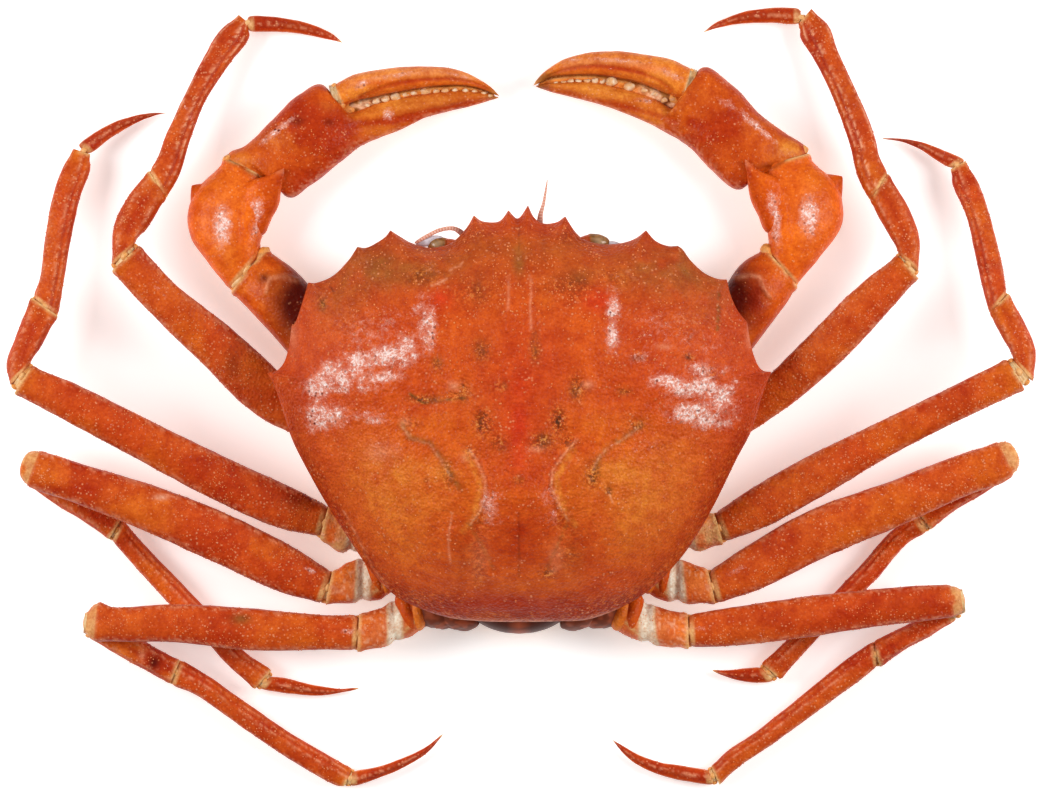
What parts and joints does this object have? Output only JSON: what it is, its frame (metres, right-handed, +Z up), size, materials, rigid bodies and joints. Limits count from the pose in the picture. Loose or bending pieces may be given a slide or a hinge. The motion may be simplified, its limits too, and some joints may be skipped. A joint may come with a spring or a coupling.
{
  "type": "cooked crab",
  "caption": "Whole cooked deep-sea crab lying belly down, claws curved together in front and walking legs folded at the sides.",
  "frame": {"origin": "bottom centre of the bounding box, on the table under the crab", "axes": "+X to the crab's right across the leg span, +Y to the crab's front, +Z up out of the back"},
  "size_m": [0.3088, 0.2345, 0.0567],
  "materials": {
    "shell": null,
    "limb_shell": null,
    "belly_shell": null,
    "eye": "small dark glossy eye on a short stalk"
  },
  "bodies": {
    "root": {"carapace": "shell", "thorax": "belly_shell", "abdomen": "belly_shell", "maxilliped_left": "belly_shell", "maxilliped_right": "belly_shell", "eye_left": "eye", "eye_right": "eye", "antenna_left": "limb_shell", "antenna_right": "limb_shell", "claw_left_hip": "limb_shell", "claw_left_arm": "limb_shell", "claw_left_wrist": "limb_shell", "claw_left_palm": "limb_shell", "claw_left_finger": "limb_shell", "claw_right_hip": "limb_shell", "claw_right_arm": "limb_shell", "claw_right_wrist": "limb_shell", "claw_right_palm": "limb_shell", "claw_right_finger": "limb_shell", "leg1_left_hip": "limb_shell", "leg1_left_merus": "limb_shell", "leg1_left_carpus": "limb_shell", "leg1_left_propodus": "limb_shell", "leg1_left_dactylus": "limb_shell", "leg1_right_hip": "limb_shell", "leg1_right_merus": "limb_shell", "leg1_right_carpus": "limb_shell", "leg1_right_propodus": "limb_shell", "leg1_right_dactylus": "limb_shell", "leg2_left_hip": "limb_shell", "leg2_left_merus": "limb_shell", "leg2_left_carpus": "limb_shell", "leg2_left_propodus": "limb_shell", "leg2_left_dactylus": "limb_shell", "leg2_right_hip": "limb_shell", "leg2_right_merus": "limb_shell", "leg2_right_carpus": "limb_shell", "leg2_right_propodus": "limb_shell", "leg2_right_dactylus": "limb_shell", "leg3_left_hip": "limb_shell", "leg3_left_merus": "limb_shell", "leg3_left_carpus": "limb_shell", "leg3_left_propodus": "limb_shell", "leg3_left_dactylus": "limb_shell", "leg3_right_hip": "limb_shell", "leg3_right_merus": "limb_shell", "leg3_right_carpus": "limb_shell", "leg3_right_propodus": "limb_shell", "leg3_right_dactylus": "limb_shell", "leg4_left_hip": "limb_shell", "leg4_left_merus": "limb_shell", "leg4_left_carpus": "limb_shell", "leg4_left_propodus": "limb_shell", "leg4_left_dactylus": "limb_shell", "leg4_right_hip": "limb_shell", "leg4_right_merus": "limb_shell", "leg4_right_carpus": "limb_shell", "leg4_right_propodus": "limb_shell", "leg4_right_dactylus": "limb_shell"}
  },
  "joints": []
}
